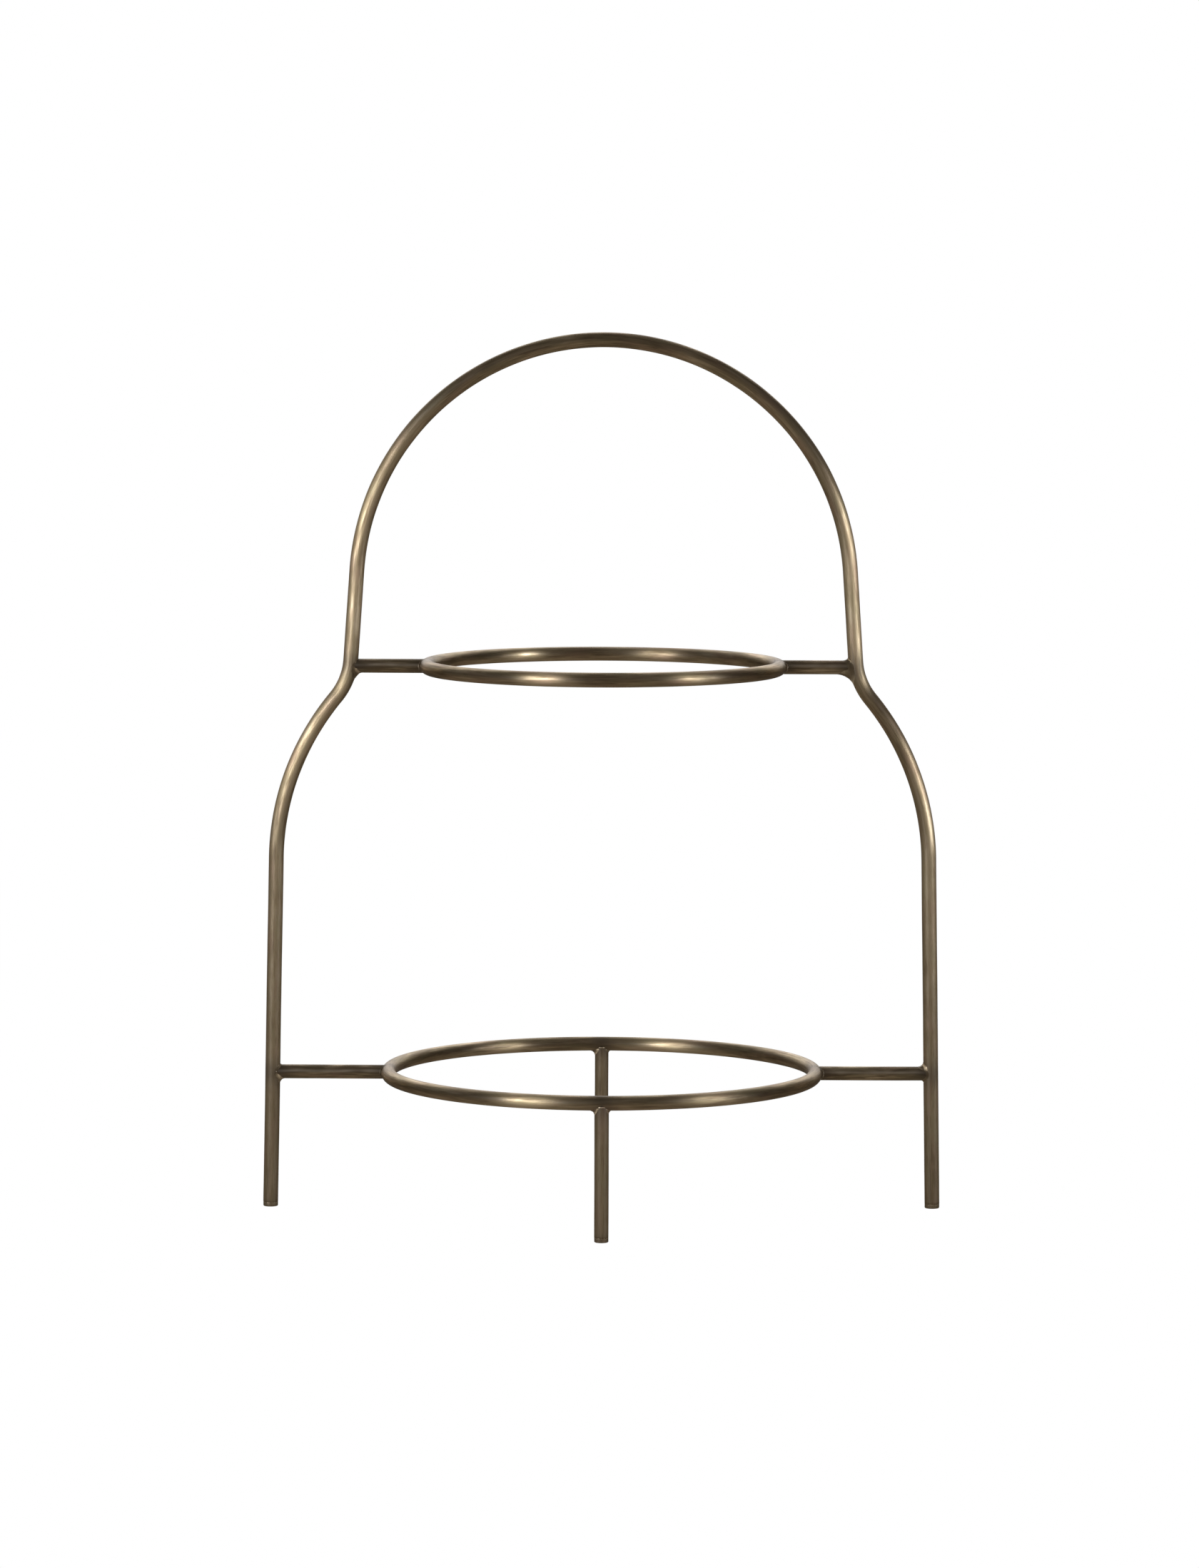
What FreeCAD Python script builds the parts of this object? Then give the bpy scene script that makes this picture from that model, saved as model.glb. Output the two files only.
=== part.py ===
import FreeCAD, Part
import math
import os
import Sketcher

# Tiered cake stand: one bent hoop of round tube stands on its two ends and carries two
# plate rings between its legs. Four short struts hold the rings, and two straight legs
# under the lower ring make it stand on four feet. Every joint is a brazed bead.
#
# Frame: +Z up, +X to the right in the hoop's plane, the rear at +Y.
# Origin: on the floor, midway between the four feet. Millimetres and degrees.

DIMENSIONS = (
    ("overall_height", 400.0, "floor to the top of the arch"),
    ("foot_spread", 303.2, "between the axes of the hoop's feet, at the floor"),
    ("hoop_tube_diameter", 6.8, "outside of the hoop's tube"),
    ("ring_tube_diameter", 6.6, "outside of the rings' tube"),
    ("strut_tube_diameter", 6.4, "outside of the tube of struts and short legs"),
    ("tube_wall", 0.9, "wall of all three tubes"),
    ("arch_radius", 112.3, "bend at the top, on the tube's axis"),
    ("arch_lean", 3.85, "outward lean of the sides below the arch"),
    ("side_length", 40.8, "straight side between arch and neck"),
    ("neck_radius", 30.0, "bend that turns the side outward"),
    ("shoulder_radius", 118.9, "bend that turns it down again"),
    ("leg_splay", 1.0, "outward lean of the hoop's legs"),
    ("upper_ring_radius", 80.0, "to the tube's axis"),
    ("upper_ring_level", 248.3, "height of the tube's axis"),
    ("lower_ring_radius", 97.5, "to the tube's axis"),
    ("lower_ring_level", 62.1, "height of the tube's axis"),
    ("plug_head", 2.0, "thickness of a foot plug below the tube"),
    ("plug_relief", 0.3, "plug head smaller than the tube, on the diameter"),
    ("plug_spigot", 5.0, "length of the plug inside the tube"),
    ("plug_clearance", 0.3, "spigot smaller than the bore, on the diameter"),
    ("plug_bevel", 0.5, "bevel round the plug's underside"),
    ("hoop_bead_reach", 4.0, "bead on the hoop, measured along the strut"),
    ("hoop_bead_spread", 3.4, "how far it runs up and down the hoop"),
    ("ring_bead_reach", 1.8, "bead on a ring, measured along the strut"),
    ("ring_bead_spread", 2.0, "how far it runs along the ring"),
    ("leg_bead_reach", 2.8, "bead under a ring, measured down the leg"),
    ("leg_bead_spread", 2.4, "how far it runs along the ring"),
    ("bead_toe", 0.15, "thickness of a bead where it ends on the tube"),
    ("bead_side", 0.3, "thickness of a bead beside the tube"),
)
SHEET = "Dimensions"
SIDES = (("left", -1), ("right", 1))
TIERS = ("upper", "lower")
ENDS = (("front", -1), ("rear", 1))
X_AXIS = FreeCAD.Vector(1, 0, 0)
Y_AXIS = FreeCAD.Vector(0, 1, 0)
Z_AXIS = FreeCAD.Vector(0, 0, 1)

doc = FreeCAD.newDocument("TieredCakeStand")
sizes = {name: value for name, value, _ in DIMENSIONS}


def make_sheet():
    """The spreadsheet that drives every size."""
    sheet = doc.addObject("Spreadsheet::Sheet", SHEET)
    for row, (name, value, note) in enumerate(DIMENSIONS, start=1):
        sheet.set(f"A{row}", name.replace("_", " "))
        sheet.set(f"B{row}", str(value))
        sheet.set(f"C{row}", note)
        sheet.setAlias(f"B{row}", name)
    doc.recompute()


def dim(name):
    """The expression that reads one dimension."""
    return f"{SHEET}.{name}"


def half(name):
    """The expression for half of a dimension, such as a radius from a diameter."""
    return f"({dim(name)} / 2)"


# Places on the hoop's axis, as expressions.
AXIS_TOP = f"({dim('overall_height')} - {half('hoop_tube_diameter')})"
NECK_X = (
    f"(({dim('arch_radius')} + {dim('neck_radius')}) * cos({dim('arch_lean')})"
    f" + {dim('side_length')} * sin({dim('arch_lean')}))"
)
NECK_Z = (
    f"({AXIS_TOP} - {dim('arch_radius')} - {dim('side_length')} * cos({dim('arch_lean')})"
    f" + ({dim('arch_radius')} + {dim('neck_radius')}) * sin({dim('arch_lean')}))"
)
HOOP_X = {
    "upper": f"({NECK_X} - sqrt({dim('neck_radius')} ^ 2"
    f" - ({dim('upper_ring_level')} - {NECK_Z}) ^ 2))",
    "lower": f"({half('foot_spread')} - {dim('lower_ring_level')} * tan({dim('leg_splay')}))",
}


def place(target, x="0", y="0", z="0"):
    """Places an object at three expressions and keeps its rotation."""
    for axis, expression in zip("xyz", (x, y, z)):
        target.setExpression(f"Placement.Base.{axis}", expression)


def turn(local_x, local_z):
    """The rotation that turns an object's own X and Z axes to two directions."""
    return FreeCAD.Rotation(local_x, FreeCAD.Vector(), local_z, "ZXY")


# Sketches


def origin_plane(body, role):
    return next(plane for plane in body.Origin.OriginFeatures if plane.Role == role)


def sketch_on(body, role, name):
    """An empty sketch flat on one of the body's own origin planes."""
    sketch = body.newObject("Sketcher::SketchObject", name)
    sketch.AttachmentSupport = (origin_plane(body, role), "")
    sketch.MapMode = "FlatFace"
    return sketch


def relate(sketch, kind, *references):
    """A constraint without a size."""
    sketch.addConstraint(Sketcher.Constraint(kind, *references))


def measure(sketch, name, expression, kind, *references, now=1.0):
    """A constraint with a size, which is tied to the sheet."""
    index = sketch.addConstraint(Sketcher.Constraint(kind, *references, now))
    sketch.renameConstraint(index, name)
    sketch.setExpression(f"Constraints.{name}", expression)


def arc(centre, radius, start, end):
    """A sketch arc, anticlockwise from one angle to the other."""
    circle = Part.Circle(centre, Z_AXIS, radius)
    return Part.ArcOfCircle(circle, math.radians(start), math.radians(end))


def polar(centre, radius, angle):
    turned = math.radians(angle)
    return centre + FreeCAD.Vector(radius * math.cos(turned), radius * math.sin(turned), 0)


def draw_hoop_path(sketch):
    """The right half of the hoop's axis: arch, side, neck, shoulder and leg, all tangent."""
    lean, splay = sizes["arch_lean"], sizes["leg_splay"]
    arch, neck, shoulder = (sizes[f"{name}_radius"] for name in ("arch", "neck", "shoulder"))
    top = sizes["overall_height"] - sizes["hoop_tube_diameter"] / 2
    foot = FreeCAD.Vector(sizes["foot_spread"] / 2, 0, 0)
    arch_centre = FreeCAD.Vector(0, top - arch, 0)
    side_start = polar(arch_centre, arch, lean)
    side_end = polar(side_start, sizes["side_length"], lean - 90)
    neck_centre = polar(side_end, neck, lean)

    # The flare is the slope where neck and shoulder meet. It is the one at which the leg,
    # whose distance from the neck's centre is known, is tangent to the shoulder.
    across = math.radians(splay)
    offset = neck_centre - foot
    reach = offset.x * math.cos(across) + offset.y * math.sin(across) + shoulder
    flare = splay + math.degrees(math.acos(reach / (neck + shoulder)))
    flare_point = polar(neck_centre, neck, 180 + flare)
    shoulder_centre = polar(flare_point, shoulder, 180 + flare)
    leg_start = polar(shoulder_centre, shoulder, splay)

    sketch.addGeometry(
        [
            arc(arch_centre, arch, lean, 90),
            Part.LineSegment(side_start, side_end),
            arc(neck_centre, neck, 180 + lean, 180 + flare),
            arc(shoulder_centre, shoulder, splay, flare),
            Part.LineSegment(leg_start, foot),
        ]
    )
    arch_arc, side_line, neck_arc, shoulder_arc, leg_line = range(5)
    start, end, centre = 1, 2, 3
    origin, across_axis, up_axis = -1, -1, -2
    relate(sketch, "Tangent", arch_arc, start, side_line, start)
    relate(sketch, "Tangent", side_line, end, neck_arc, start)
    relate(sketch, "Tangent", neck_arc, end, shoulder_arc, end)
    relate(sketch, "Tangent", shoulder_arc, start, leg_line, start)
    relate(sketch, "PointOnObject", arch_arc, centre, up_axis)
    relate(sketch, "PointOnObject", arch_arc, end, up_axis)
    relate(sketch, "PointOnObject", leg_line, end, across_axis)
    measure(sketch, "axisTop", AXIS_TOP, "DistanceY", origin, start, arch_arc, end, now=top)
    measure(
        sketch,
        "footHalfSpread",
        half("foot_spread"),
        "DistanceX",
        origin,
        start,
        leg_line,
        end,
        now=foot.x,
    )
    measure(sketch, "archRadius", dim("arch_radius"), "Radius", arch_arc, now=arch)
    measure(sketch, "neckRadius", dim("neck_radius"), "Radius", neck_arc, now=neck)
    measure(
        sketch, "shoulderRadius", dim("shoulder_radius"), "Radius", shoulder_arc, now=shoulder
    )
    measure(
        sketch,
        "sideLength",
        dim("side_length"),
        "Distance",
        side_line,
        now=sizes["side_length"],
    )
    measure(
        sketch,
        "sideSlope",
        f"{dim('arch_lean')} - 90",
        "Angle",
        side_line,
        now=math.radians(lean - 90),
    )
    measure(
        sketch,
        "legSlope",
        f"{dim('leg_splay')} - 90",
        "Angle",
        leg_line,
        now=math.radians(splay - 90),
    )


def draw_circles(sketch, height, radii):
    """Circles round one point on the sketch's upright axis, one for each named radius."""
    for index, (name, expression) in enumerate(radii.items()):
        sketch.addGeometry(Part.Circle(FreeCAD.Vector(0, 100, 0), Z_AXIS, 1 + index))
        relate(sketch, "PointOnObject", index, 3, -2)
        measure(sketch, f"{name}Height", height, "DistanceY", -1, 1, index, 3, now=100.0)
        measure(sketch, f"{name}Radius", expression, "Radius", index)


# Pieces


def cut(label, base, *tools):
    """The base less each tool in turn. The last cut has the label."""
    for number, tool in enumerate(tools, start=1):
        name = label if number == len(tools) else f"{label}_cut_{number}"
        piece = doc.addObject("Part::Cut", name)
        piece.Base = base
        piece.Tool = tool
        base = piece
    return base


def make_hoop(label, hollow):
    """The bent hoop as a tube, or as the full round bar that it fills."""
    body = doc.addObject("PartDesign::Body", label)
    path = sketch_on(body, "XZ_Plane", f"{label}_path")
    draw_hoop_path(path)
    section = sketch_on(body, "YZ_Plane", f"{label}_section")
    radii = {"outer": half("hoop_tube_diameter")}
    if hollow:
        radii["bore"] = f"{half('hoop_tube_diameter')} - {dim('tube_wall')}"
    draw_circles(section, AXIS_TOP, radii)
    doc.recompute()
    pipe = body.newObject("PartDesign::AdditivePipe", f"{label}_right_half")
    pipe.Profile = section
    pipe.Spine = (path, [f"Edge{number + 1}" for number in range(path.GeometryCount)])
    mirrored = body.newObject("PartDesign::Mirrored", f"{label}_both_halves")
    mirrored.Originals = [pipe]
    mirrored.MirrorPlane = (origin_plane(body, "YZ_Plane"), [""])
    body.Tip = mirrored
    doc.recompute()
    return body


def saw_feet(body):
    """Cuts the ends of the hoop's tube level, so that the foot plugs fit under them."""
    sketch = sketch_on(body, "XY_Plane", f"{body.Name}_saw_line")
    sketch.setExpression("AttachmentOffset.Base.z", dim("plug_head"))
    far = sizes["foot_spread"]
    near = sizes["hoop_tube_diameter"]
    corners = [
        FreeCAD.Vector(x * far, y * near, 0) for x, y in ((-1, -1), (1, -1), (1, 1), (-1, 1))
    ]
    sketch.addGeometry(
        [Part.LineSegment(corners[side], corners[(side + 1) % 4]) for side in range(4)]
    )
    for side in range(4):
        relate(sketch, "Coincident", side, 2, (side + 1) % 4, 1)
        relate(sketch, "Horizontal" if side % 2 == 0 else "Vertical", side)
    relate(sketch, "Symmetric", 0, 1, 2, 1, -1, 1)
    measure(sketch, "sawWidth", f"2 * {dim('foot_spread')}", "Distance", 0, now=2 * far)
    measure(
        sketch, "sawDepth", f"2 * {dim('hoop_tube_diameter')}", "Distance", 1, now=2 * near
    )
    doc.recompute()
    before = body.Shape.Volume
    pocket = body.newObject("PartDesign::Pocket", f"{body.Name}_level_feet")
    pocket.Profile = sketch
    pocket.Type = "ThroughAll"
    body.Tip = pocket
    doc.recompute()
    if not 0 < before - body.Shape.Volume < before / 100:
        raise RuntimeError("the hoop's feet were not cut level")


def make_ring_bar(label, tier, inset="0"):
    """A full round ring of one tier, its section smaller by the inset."""
    torus = doc.addObject("Part::Torus", label)
    torus.setExpression("Radius1", dim(f"{tier}_ring_radius"))
    torus.setExpression("Radius2", f"{half('ring_tube_diameter')} - {inset}")
    place(torus, z=dim(f"{tier}_ring_level"))
    return torus


def make_rod(label, radius, length, direction, spot):
    """A straight round bar from a spot along a direction."""
    rod = doc.addObject("Part::Cylinder", label)
    rod.setExpression("Radius", radius)
    rod.setExpression("Height", length)
    rod.Placement.Rotation = FreeCAD.Rotation(Z_AXIS, direction)
    place(rod, *spot)
    return rod


def make_member(label, length, direction, spot, hosts):
    """A strut or leg: a tube coped to the round pieces that it meets, and its full bar."""
    bar_radius = half("strut_tube_diameter")
    bar = make_rod(f"{label}_bar", bar_radius, length, direction, spot)
    bore_radius = f"{bar_radius} - {dim('tube_wall')}"
    bore = make_rod(f"{label}_bore", bore_radius, length, direction, spot)
    cut(label, bar, bore, *hosts)
    return bar


def make_bead(label, kind, host_diameter, spot_at, rotation, bar, host):
    """A brazed bead round a bar where it meets a host tube.

    It is a loft of ellipses from the host's axis out along the bar, wide along the host
    and narrow across it, less the bar and the host. spot_at gives the spot at a distance.
    """
    bar_radius, host_radius = half("strut_tube_diameter"), half(host_diameter)
    reach, spread = dim(f"{kind}_bead_reach"), dim(f"{kind}_bead_spread")
    side, toe = dim("bead_side"), dim("bead_toe")
    stations = (
        ("0", spread, f"{host_radius} - {bar_radius} - {toe}"),
        (host_radius, spread, side),
        (f"{host_radius} + 0.35 * {reach}", f"{side} + 0.35 * ({spread} - {side})", side),
        (f"{host_radius} + {reach}", toe, toe),
    )
    sections = []
    for number, (distance, along, across) in enumerate(stations, start=1):
        section = doc.addObject("Part::Ellipse", f"{label}_section_{number}")
        section.setExpression("MajorRadius", f"{bar_radius} + {along}")
        section.setExpression("MinorRadius", f"{bar_radius} + {across}")
        section.Placement.Rotation = rotation
        place(section, *spot_at(distance))
        sections.append(section)
    loft = doc.addObject("Part::Loft", f"{label}_loft")
    loft.Sections = sections
    loft.Solid = True
    cut(label, loft, bar, host)


def make_plug(label, tube_diameter, x, y):
    """A foot plug: a bevelled head under the tube and a spigot in its bore."""
    body = doc.addObject("PartDesign::Body", label)
    sketch = sketch_on(body, "XZ_Plane", f"{label}_section")
    head = f"({half(tube_diameter)} - {half('plug_relief')})"
    spigot = f"({half(tube_diameter)} - {dim('tube_wall')} - {half('plug_clearance')})"
    height = f"({dim('plug_head')} + {dim('plug_spigot')})"
    outline = [(0, 0), (2.5, 0), (3, 0.5), (3, 2), (2, 2), (2, 7), (0, 7)]
    corners = [FreeCAD.Vector(across, up, 0) for across, up in outline]
    count = len(corners)
    sketch.addGeometry(
        [Part.LineSegment(corners[i], corners[(i + 1) % count]) for i in range(count)]
    )
    for edge in range(count):
        relate(sketch, "Coincident", edge, 2, (edge + 1) % count, 1)
    for edge in (0, 3, 5):
        relate(sketch, "Horizontal", edge)
    for edge in (2, 4, 6):
        relate(sketch, "Vertical", edge)
    relate(sketch, "Coincident", 0, 1, -1, 1)
    bevel = dim("plug_bevel")
    measure(sketch, "headRadius", head, "DistanceX", -1, 1, 2, 1, now=3.0)
    measure(sketch, "footRadius", f"{head} - {bevel}", "DistanceX", -1, 1, 0, 2, now=2.5)
    measure(sketch, "bevelHeight", bevel, "DistanceY", -1, 1, 1, 2, now=0.5)
    measure(sketch, "headHeight", dim("plug_head"), "DistanceY", -1, 1, 2, 2, now=2.0)
    measure(sketch, "spigotRadius", spigot, "DistanceX", -1, 1, 4, 2, now=2.0)
    measure(sketch, "plugHeight", height, "DistanceY", -1, 1, 5, 2, now=7.0)
    turned = body.newObject("PartDesign::Revolution", f"{label}_turned")
    turned.Profile = sketch
    turned.ReferenceAxis = (sketch, ["V_Axis"])
    turned.Angle = 360.0
    body.Tip = turned
    place(body, x=x, y=y)


def build():
    """Makes every piece. Returns the names of the pieces, without the helper shapes."""
    make_sheet()
    names = ["frame_hoop"]
    hoop = make_hoop("frame_hoop", hollow=True)
    saw_feet(hoop)
    hoop_bar = make_hoop("hoop_bar", hollow=False)

    ring_bars = {}
    for tier in TIERS:
        ring_bars[tier] = make_ring_bar(f"{tier}_ring_bar", tier)
        bore = make_ring_bar(f"{tier}_ring_bore", tier, inset=dim("tube_wall"))
        cut(f"{tier}_ring", ring_bars[tier], bore)
        names.append(f"{tier}_ring")

    for tier in TIERS:
        ring_radius, level = dim(f"{tier}_ring_radius"), dim(f"{tier}_ring_level")
        for side, sign in SIDES:
            name = f"{tier}_{side}"
            bar = make_member(
                f"{name}_strut",
                f"{HOOP_X[tier]} - {ring_radius}",
                X_AXIS * sign,
                (f"{sign} * {ring_radius}", "0", level),
                (hoop_bar, ring_bars[tier]),
            )
            make_bead(
                f"{name}_hoop_bead",
                "hoop",
                "hoop_tube_diameter",
                lambda out: (f"{sign} * ({HOOP_X[tier]} - ({out}))", "0", level),
                turn(Z_AXIS, X_AXIS),
                bar,
                hoop_bar,
            )
            make_bead(
                f"{name}_ring_bead",
                "ring",
                "ring_tube_diameter",
                lambda out: (f"{sign} * ({ring_radius} + ({out}))", "0", level),
                turn(Y_AXIS, X_AXIS),
                bar,
                ring_bars[tier],
            )
            names += [f"{name}_strut", f"{name}_hoop_bead", f"{name}_ring_bead"]

    ring_radius, level = dim("lower_ring_radius"), dim("lower_ring_level")
    for end, sign in ENDS:
        y = f"{sign} * {ring_radius}"
        bar = make_member(
            f"{end}_leg",
            f"{level} - {dim('plug_head')}",
            Z_AXIS,
            ("0", y, dim("plug_head")),
            (ring_bars["lower"],),
        )
        make_bead(
            f"{end}_leg_bead",
            "leg",
            "ring_tube_diameter",
            lambda out: ("0", y, f"{level} - ({out})"),
            turn(X_AXIS, Z_AXIS),
            bar,
            ring_bars["lower"],
        )
        make_plug(f"{end}_foot_plug", "strut_tube_diameter", "0", y)
        names += [f"{end}_leg", f"{end}_leg_bead", f"{end}_foot_plug"]

    for side, sign in SIDES:
        x = f"{sign} * ({half('foot_spread')} - {dim('plug_head')} * tan({dim('leg_splay')}))"
        make_plug(f"{side}_foot_plug", "hoop_tube_diameter", x, "0")
        names.append(f"{side}_foot_plug")
    doc.recompute()
    return names


def check(names):
    """Stops if any object failed or any piece isn't one valid solid."""
    for item in doc.Objects:
        failed = [state for state in item.State if state in ("Invalid", "Error")]
        if failed:
            raise RuntimeError(f"{item.Label}: {failed}")
    for name in names:
        shape = doc.getObject(name).Shape
        if shape.isNull() or not shape.isValid() or len(shape.Solids) != 1:
            raise RuntimeError(f"{name} isn't one valid solid")


def write(names):
    os.makedirs("parts", exist_ok=True)
    for name in names:
        doc.getObject(name).Shape.exportStep(f"parts/{name}.step")


pieces = build()
check(pieces)
write(pieces)
print(len(pieces), "pieces")
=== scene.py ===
import math

import bpy
import numpy as np
from mathutils import Matrix, Vector, noise


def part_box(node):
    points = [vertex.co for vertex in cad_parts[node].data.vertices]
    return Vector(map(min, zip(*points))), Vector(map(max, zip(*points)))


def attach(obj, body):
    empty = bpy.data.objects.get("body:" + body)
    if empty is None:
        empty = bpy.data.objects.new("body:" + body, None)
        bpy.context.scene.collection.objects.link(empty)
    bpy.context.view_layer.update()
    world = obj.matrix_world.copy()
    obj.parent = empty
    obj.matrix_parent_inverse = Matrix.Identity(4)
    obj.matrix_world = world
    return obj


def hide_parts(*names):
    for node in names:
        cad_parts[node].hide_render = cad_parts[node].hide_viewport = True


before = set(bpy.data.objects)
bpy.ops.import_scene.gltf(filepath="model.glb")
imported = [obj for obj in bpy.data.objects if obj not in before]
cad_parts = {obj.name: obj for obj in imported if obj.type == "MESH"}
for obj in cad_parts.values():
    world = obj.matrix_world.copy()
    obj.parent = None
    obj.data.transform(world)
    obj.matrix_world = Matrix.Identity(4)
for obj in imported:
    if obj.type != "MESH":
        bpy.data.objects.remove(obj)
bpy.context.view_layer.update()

# The stand's looks. Every visible piece is a fine mesh of its own that stands for one CAD
# node: tubes swept along their axes, brazed beads shaped one by one and turned foot plugs.
# Metres, in the frame of the CAD model: +Z up, +X right, the rear at +Y.

MM = 0.001

# The bends of the hoop. Its height, width and tube come from the frame.
ARCH_RADIUS = 112.3 * MM
ARCH_LEAN = math.radians(3.85)
SIDE_LENGTH = 40.8 * MM
NECK_RADIUS = 30.0 * MM
SHOULDER_RADIUS = 118.9 * MM
LEG_SPLAY = math.radians(1.0)

AROUND = 56  # faces round a tube
STEP = 1.1 * MM  # length of a face along a tube
UV_ROW = 0.01  # step of the UV map along a tube, where only the way round matters
WALL = 0.9 * MM  # of every tube
RIM = 0.12 * MM  # rounding of a tube's end
STRUT_SHORT = 1.2 * MM  # a strut stops this far from the axes that it joins, out of sight
LEG_SHORT = 0.7 * MM  # and a leg this far from the lower ring's axis

# How a tube departs from a perfect one: its axis drifts, its radius swells, its skin dents
DRIFT, FINE_DRIFT = 0.10 * MM, 0.06 * MM
SWELL, RING_SWELL = 0.03 * MM, 0.02 * MM
DENT = 0.012 * MM

# How far soot reaches from a joint or a foot
HOOP_SOOT, RING_SOOT, FOOT_SOOT = 6 * MM, 5 * MM, 3 * MM
STRUT_INNER_SOOT, STRUT_OUTER_SOOT, LEG_SOOT = 6 * MM, 7 * MM, 7 * MM
PLUG_STAIN = 0.55

X_AXIS, Y_AXIS, Z_AXIS = Vector((1, 0, 0)), Vector((0, 1, 0)), Vector((0, 0, 1))
SIDES = (("left", -1), ("right", 1))
TIERS = ("upper", "lower")
ENDS = (("front", -1), ("rear", 1))


# Sizes read from the frame


def middle(node):
    low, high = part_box(node)
    return (low + high) / 2


def extent(node):
    low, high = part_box(node)
    return high - low


HOOP_RADIUS = extent("frame_hoop").y / 2
STRUT_RADIUS = extent("lower_left_strut").y / 2
RING_RADIUS = extent("upper_ring").z / 2  # of its tube
RING = {tier: extent(f"{tier}_ring").x / 2 - RING_RADIUS for tier in TIERS}  # of its axis
LEVEL = {tier: middle(f"{tier}_ring").z for tier in TIERS}
TUBE_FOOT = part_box("frame_hoop")[0].z  # where the tubes end above their plugs
AXIS_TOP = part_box("frame_hoop")[1].z - HOOP_RADIUS
FOOT_X = middle("right_foot_plug").x


# Axes of the tubes


def polar(centre, radius, angle):
    return (centre[0] + radius * math.cos(angle), centre[1] + radius * math.sin(angle))


def arc_points(centre, radius, start, end):
    """Points along an arc, without its last one."""
    count = max(2, math.ceil(radius * abs(end - start) / STEP))
    return [polar(centre, radius, start + (end - start) * i / count) for i in range(count)]


def line_points(start, end):
    """Points along a line, without its last one."""
    count = max(2, math.ceil(math.dist(start, end) / STEP))
    return [
        tuple(a + (b - a) * i / count for a, b in zip(start, end)) for i in range(count)
    ]


def half_hoop():
    """The hoop's axis in its own plane, as (x, z) from the top to the right foot."""
    lean, splay = ARCH_LEAN, LEG_SPLAY
    arch_centre = (0.0, AXIS_TOP - ARCH_RADIUS)
    side_start = polar(arch_centre, ARCH_RADIUS, lean)
    side_end = polar(side_start, SIDE_LENGTH, lean - math.pi / 2)
    neck_centre = polar(side_end, NECK_RADIUS, lean)
    foot = (FOOT_X, TUBE_FOOT)

    # The slope where neck and shoulder meet is the one that makes the leg tangent.
    offset = (neck_centre[0] - foot[0], neck_centre[1] - foot[1])
    reach = offset[0] * math.cos(splay) + offset[1] * math.sin(splay) + SHOULDER_RADIUS
    flare = splay + math.acos(reach / (NECK_RADIUS + SHOULDER_RADIUS))
    flare_point = polar(neck_centre, NECK_RADIUS, math.pi + flare)
    shoulder_centre = polar(flare_point, SHOULDER_RADIUS, math.pi + flare)
    leg_start = polar(shoulder_centre, SHOULDER_RADIUS, splay)
    return (
        arc_points(arch_centre, ARCH_RADIUS, math.pi / 2, lean)
        + line_points(side_start, side_end)
        + arc_points(neck_centre, NECK_RADIUS, math.pi + lean, math.pi + flare)
        + arc_points(shoulder_centre, SHOULDER_RADIUS, flare, splay)
        + line_points(leg_start, foot)
        + [foot]
    )


def hoop_axis():
    """The whole axis, from the left foot over the arch to the right foot."""
    right = half_hoop()
    left = [(-x, z) for x, z in right[:0:-1]]
    return np.array([(x, 0.0, z) for x, z in left + right])


class Axis:
    """A line through the middle of a tube, with places and directions along it."""

    def __init__(self, points, side, closed=False):
        self.closed = closed
        self.side = np.array(side, float)  # square to the plane of the bends
        self.points = np.asarray(points, float)
        if closed:
            ahead = np.roll(self.points, -1, axis=0)
            behind = np.roll(self.points, 1, axis=0)
            self.length = float(np.linalg.norm(ahead - self.points, axis=1).sum())
            self.tangents = ahead - behind
        else:
            self.tangents = np.gradient(self.points, axis=0)
        self.tangents /= np.linalg.norm(self.tangents, axis=1)[:, None]
        steps = np.linalg.norm(np.diff(self.points, axis=0), axis=1)
        self.along = np.concatenate([[0.0], np.cumsum(steps)])
        if not closed:
            self.length = float(self.along[-1])
        self.across = np.cross(self.side, self.tangents)

    def at(self, distance):
        """The point, tangent and in-plane normal at a distance along the axis."""
        found = [
            np.array([np.interp(distance, self.along, values[:, i]) for i in range(3)])
            for values in (self.points, self.tangents, self.across)
        ]
        return [Vector(v) for v in found]

    def nearest(self, point):
        """The distance along the axis of the place nearest to a point."""
        gaps = np.linalg.norm(self.points - np.array(point), axis=1)
        return float(self.along[int(gaps.argmin())])


def ring_axis(tier):
    count = math.ceil(2 * math.pi * RING[tier] / STEP)
    angles = 2 * math.pi * np.arange(count) / count
    points = [
        (RING[tier] * math.sin(a), -RING[tier] * math.cos(a), LEVEL[tier]) for a in angles
    ]
    return Axis(points, (0, 0, 1), closed=True)


def straight_axis(start, end, side):
    count = max(4, math.ceil((Vector(end) - Vector(start)).length / STEP))
    share = np.linspace(0, 1, count + 1)[:, None]
    return Axis(np.array(start) * (1 - share) + np.array(end) * share, side)


# Meshes


def add_attribute(mesh, name, kind, values):
    """A number or a vector at each point, for the material to read."""
    key = "vector" if kind == "FLOAT_VECTOR" else "value"
    mesh.attributes.new(name, kind, "POINT").data.foreach_set(key, values)


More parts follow.
